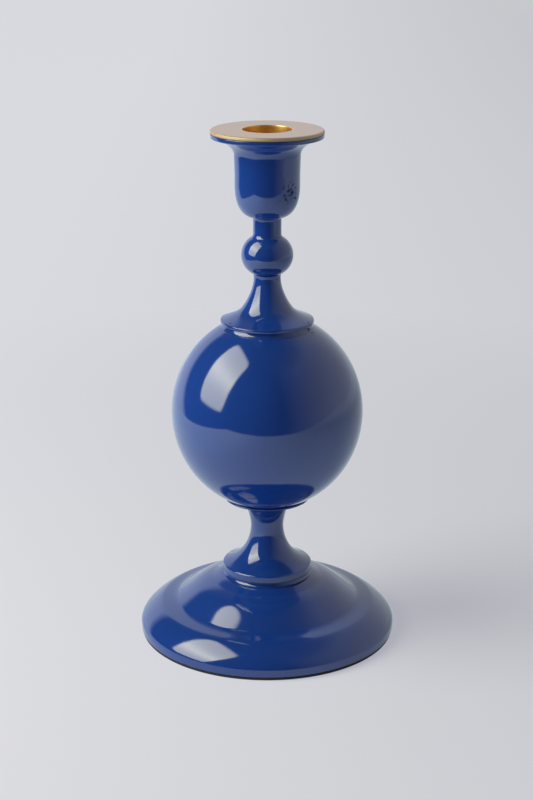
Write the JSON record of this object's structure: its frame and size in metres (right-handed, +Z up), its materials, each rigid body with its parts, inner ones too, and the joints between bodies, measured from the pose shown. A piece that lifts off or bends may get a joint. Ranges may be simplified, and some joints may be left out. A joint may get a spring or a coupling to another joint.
{
  "type": "candle holder",
  "caption": "Candle holder with an enamelled ball between a flared stem and a waisted pedestal on a domed foot; a brass nozzle in the cup holds a taper candle and lifts out.",
  "frame": {"origin": "centre of the pad's underside, on the turning axis", "axes": "+Z up along the turning axis; the holder is round, so X and Y are free"},
  "size_m": [0.1226, 0.1226, 0.2433],
  "materials": {
    "enamel": "glossy cobalt blue enamel",
    "brass": "satin brass with a polished bore",
    "steel": "zinc-plated steel",
    "pad": "matt black foam rubber",
    "board": "bare brown hardboard"
  },
  "bodies": {
    "stand": {"cup": "enamel", "knob_stem": "enamel", "trumpet": "enamel", "upper_ring": "enamel", "ball": "enamel", "ball_seat": "enamel", "pedestal": "enamel", "foot_ring": "enamel", "foot": "enamel", "base_disc": "board", "base_pad": "pad", "tie_rod": "steel", "top_washer": "steel", "top_nut": "steel", "bottom_washer": "steel", "spring_washer": "steel", "bottom_nut": "steel"},
    "nozzle_body": {"nozzle": "brass"}
  },
  "joints": [
    {"name": "nozzle_lift", "type": "slide", "parent": "stand", "child": "nozzle_body", "axis": [0, 0, 1], "range_m": [0, 0.03]}
  ]
}
